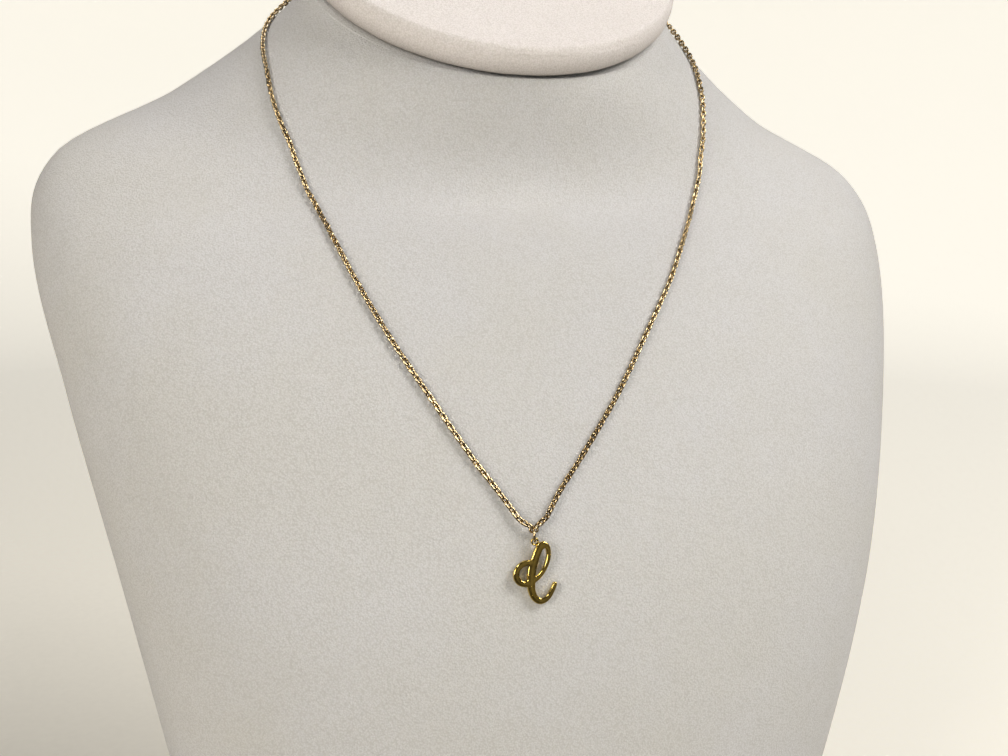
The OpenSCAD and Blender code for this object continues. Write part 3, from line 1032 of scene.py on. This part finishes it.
def add_loose(points, faces, x, y, origin):
    """Adds one loose solid to the chain's mesh, from its two flat axes and its middle."""
    start = sum(len(p) for p in chain_points)
    chain_points.append(placed(points, x, y, np.cross(x, y), origin))
    chain_faces.extend([[start + i for i in face] for face in faces])


add_loose(link_points, link_faces, tip_across, tip_up, apex)
for line, outs, roll_table in strands:
    for link_middle, link_along, link_width in zip(*strand_links(line, outs, roll_table)):
        add_loose(link_points, link_faces, link_along, link_width, link_middle)
print("links:", len(chain_points))

# %% [markdown]
# At the back the last link of each strand is joined to the clasp by a slightly larger ring,
# which leans on the cover at half a right angle like the links do.

# %% End rings and the chain's piece
END_HEIGHT = 1.0
end_points, end_faces = torus(END_RING_D, END_RING_WIRE, 32, 10)
for side in (-1, 1):
    # On the back of the neck the strand from the left arrives from the other side
    place = clasp_foot - clasp_across * side * end_middle + clasp_out * END_HEIGHT
    add_loose(end_points, end_faces, clasp_across, unit(clasp_up + clasp_out), place)
chain = make_piece(
    "chain_links", np.vstack(chain_points), chain_faces, wire_gold, "chain",
)
print("chain:", triangles_of(chain), "triangles")

# %% [markdown]
# ## The clasp
#
# The clasp is hidden behind the neck: the usual hollow ring with a small thumb stud. Its lever
# and spring could be built too, but nobody sees them, so it is one plain closed piece.

# %% Clasp
STUD_D = 0.8
STUD_L = 1.2
STUD_DOME = 0.2
STUD_STEPS = 6
STUD_SIDES = 24

clasp_centre = clasp_foot + clasp_out * (CLASP_WIRE / 2 + REST_GAP)
clasp_points, clasp_faces = torus(CLASP_D, CLASP_WIRE, 96, 24)
clasp = make_piece(
    "clasp_ring", placed(clasp_points, clasp_across, clasp_up, clasp_out, clasp_centre), clasp_faces,
    wire_gold, "clasp",
)
stud_base = CLASP_WIRE / 2 + STUD_L - STUD_DOME
# Rows of radius and height, up the stud's side and round its softly domed end
stud_rows = [(STUD_D / 2, 0.0), (STUD_D / 2, stud_base)] + [
    (STUD_D / 2 - STUD_DOME * (1 - cos(a)), stud_base + STUD_DOME * sin(a))
    for a in np.linspace(0, pi / 2, STUD_STEPS)[1:]
]
stud_turns = full_turn(STUD_SIDES)
stud_points = np.array([[r * cos(a), r * sin(a), z] for r, z in stud_rows for a in stud_turns])
stud_place = clasp_centre + clasp_up * clasp_wire_r
thumb_stud = make_piece(
    "thumb_stud", placed(stud_points, clasp_out, clasp_across, clasp_up, stud_place),
    grid_faces(len(stud_rows), STUD_SIDES), wire_gold,
)
joined(clasp, thumb_stud)
print("clasp:", triangles_of(clasp), "triangles")

# %% [markdown]
# ## Floor and backdrop
#
# The display stands on pale paper that runs out flat and then rises softly all round. More lamps
# could make the far paper nearly white, but they would flatten the form of the bust. So the
# paper has a weak glow of its own that grows with its distance, and the part that rises sends no
# light on to the bust.

# %% Paper
PAPER_COLOUR = (0.875, 0.84, 0.755, 1)
PAPER_ROUGHNESS = 0.9
PAPER_GLOW = 0.8
FIBRES_PER_M = 300
FIBRE_SPREAD = (0.4, 0.6)
FIBRE_SHADE = 0.985
DIM_SIDE = (-0.25, 0, 0)
GLOW_RANGE = (0.1, 1.45)

pale_paper, shader, place = new_material("pale_paper")
weaker = tuple(x * FIBRE_SHADE for x in PAPER_COLOUR[:3]) + (1,)
fibres = ramp(noise(place, FIBRES_PER_M, 4), weaker, PAPER_COLOUR, *FIBRE_SPREAD)
feed(fibres, shader, "Base Color")
far = node(place, "ShaderNodeVectorMath", operation="DISTANCE")
far.inputs[1].default_value = DIM_SIDE
feed(place, far, 0)
glow = rescaled(far.outputs["Value"], *GLOW_RANGE, 0.0, PAPER_GLOW)
feed(glow, shader, "Emission Strength")
filled(shader, Emission_Color=PAPER_COLOUR, Roughness=PAPER_ROUGHNESS)
print("the paper glows between these distances in m:", *GLOW_RANGE)

# %% Sheets of paper
PAPER_FLAT = 1.0
PAPER_ROUND = 0.6
PAPER_TOP = 1.2
PAPER_SIDES = 96
FLOOR_HUB = 0.02


def paper_sheet(name, rows, material, closed=False):
    """A round sheet of paper from rows of (radius, height) in metres, its middle closed or open."""
    turns = full_turn(PAPER_SIDES)
    faces = [face[::-1] for face in grid_faces(len(rows), PAPER_SIDES, "open")]
    if closed:
        faces.append(list(range(PAPER_SIDES)))
    mesh = bpy.data.meshes.new(name)
    mesh.from_pydata([(r * cos(a), r * sin(a), z) for r, z in rows for a in turns], [], faces)
    mesh.shade_smooth()
    mesh.materials.append(material)
    sheet = add_object(name, mesh)
    return sheet


bend = np.linspace(0, pi / 2, 24)
rising_rows = [
    (PAPER_FLAT + PAPER_ROUND * sin(a), PAPER_ROUND * (1 - cos(a))) for a in bend
] + [(PAPER_FLAT + PAPER_ROUND, PAPER_TOP)]
floor = paper_sheet("floor", [(FLOOR_HUB, 0.0), (PAPER_FLAT, 0.0)], pale_paper, closed=True)
backdrop = paper_sheet("backdrop", rising_rows, pale_paper)
floor.visible_glossy = False
backdrop.visible_diffuse = False
backdrop.visible_glossy = False
backdrop.visible_shadow = False
print("paper:", len(floor.data.polygons) + len(backdrop.data.polygons), "faces")

# %% [markdown]
# ## Lamps
#
# One lamp leaves a side of the neck black, and light from everywhere leaves no form. So a strong
# soft lamp stands high on the right and a warmer one low on the left, one behind lights the
# shoulders and the cap's rim, and a faint cool one in front fills the shade. That one is kept
# out of the metal's reflections, where it would put a broad flat patch.

# %% Lamps
LOOK_AT = Vector((0, -0.03, 0.16))
# Angle round the bust and above it in degrees, distance and size in metres, watts and colour
LAMPS = {
    "right_lamp": (58, 46, 1.0, 0.5, 7.9, (1.0, 0.97, 0.92)),
    "left_lamp": (-54, 21, 1.0, 0.4, 4.8, (1.0, 0.945, 0.85)),
    "back_lamp": (180, 60, 1.0, 0.5, 3.1, (1.0, 0.98, 0.96)),
    "front_lamp": (0, 14, 1.3, 1.0, 1.2, (0.60, 0.83, 1.0)),
}

for name, (around, above_horizon, distance, size, power, colour) in LAMPS.items():
    data = bpy.data.lights.new(name, "AREA")
    data.size = size
    data.energy = power
    data.color = colour
    away = direction(around, above_horizon)
    made = add_object(name, data)
    made.location = LOOK_AT + away * distance
    made.rotation_mode = "QUATERNION"
    made.rotation_quaternion = away.to_track_quat("Z", "Y")
    made.visible_glossy = name != "front_lamp"
print("lamps:", list(LAMPS))

# %% [markdown]
# ## What the metal reflects
#
# What polished metal shows is the room. In a dim room it turns dark brown with small bright
# sparks from the lamps, and in a white one it turns flat and pale. So the metal is given a dim
# room of its own: a wide drum of dark card behind the lamps that only reflections see.

# %% Dim room for the reflections
ROOM_FAR = 1.5
ROOM_LOW = -1.2
ROOM_TOP = 1.6
ROOM_HUB = 0.05
ROOM_DARK = (0.03, 0.026, 0.018, 1)
ROOM_LIGHT = (0.20, 0.18, 0.14, 1)
ROOM_SPREAD = (0.38, 0.66)
ROOM_PATCHES_PER_M = 1.7


def glowing_card(name, colour, glow=1.0):
    """A card that reflects nothing and only glows, with the place of its points."""
    material, shader, place = new_material(name)
    filled(shader, Base_Color=(0, 0, 0, 1), Specular_IOR_Level=0.0)
    filled(shader, Emission_Color=colour, Emission_Strength=glow)
    material.cycles.emission_sampling = "NONE"
    return material, shader, place


def only_reflected(thing):
    """Leaves a thing to be seen in reflections and nowhere else."""
    thing.visible_camera = False
    thing.visible_diffuse = False
    thing.visible_shadow = False


dim_card, shader, place = glowing_card("dim_card", ROOM_DARK)
patches = ramp(noise(place, ROOM_PATCHES_PER_M, 2), ROOM_DARK, ROOM_LIGHT, *ROOM_SPREAD)
feed(patches, shader, "Emission Color")
room_rows = [(ROOM_HUB, ROOM_LOW), (ROOM_FAR, ROOM_LOW), (ROOM_FAR, ROOM_TOP), (ROOM_HUB, ROOM_TOP)]
room = paper_sheet("dim_room", room_rows, dim_card)
only_reflected(room)
print("dim room:", ROOM_FAR, "m from the middle")

# %% [markdown]
# In a round wire a lamp is only a speck, smaller than a link can show. So a small bright card
# hangs before each side lamp and a third one high on the left. They give the steady cream
# sparks along the letter's edge and on the links.

# %% Bright cards for the reflections
CARD_FAR = 0.97
CARD_HALF = 0.1
CARD_GLOW = 20.0
CARD_COLOUR = (1.0, 0.97, 0.90, 1)
CARD_PLACES = {"right_card": (58, 46), "left_card": (-54, 21), "window_card": (-55, 52)}
CARD_CORNERS = [(-1, -1), (1, -1), (1, 1), (-1, 1)]

bright_card = glowing_card("bright_card", CARD_COLOUR, CARD_GLOW)[0]
for name, angles in CARD_PLACES.items():
    facing = direction(*angles).to_track_quat("Z", "Y").to_matrix()
    corners = [Vector((x * CARD_HALF, y * CARD_HALF, CARD_FAR)) for x, y in CARD_CORNERS]
    mesh = bpy.data.meshes.new(name)
    mesh.from_pydata([LOOK_AT + facing @ corner for corner in corners], [], [[0, 1, 2, 3]])
    mesh.materials.append(bright_card)
    card = add_object(name, mesh)
    only_reflected(card)
print("bright cards:", list(CARD_PLACES))

# %% [markdown]
# ## The last of the light
#
# A very weak light from all round keeps the deepest shade from going black. A filmic view would
# bend the pale tones of the cover and the paper, so the plain one is used.

# %% World and view
WORLD_COLOUR = (1.0, 0.98, 0.95, 1)
WORLD_STRENGTH = 0.05

world = bpy.data.worlds.new("studio")
scene.world = world
world.use_nodes = True
filled(world.node_tree.nodes["Background"], Color=WORLD_COLOUR, Strength=WORLD_STRENGTH)
scene.view_settings.view_transform = "Standard"
scene.view_settings.exposure = 0.0
print("view transform:", scene.view_settings.view_transform)
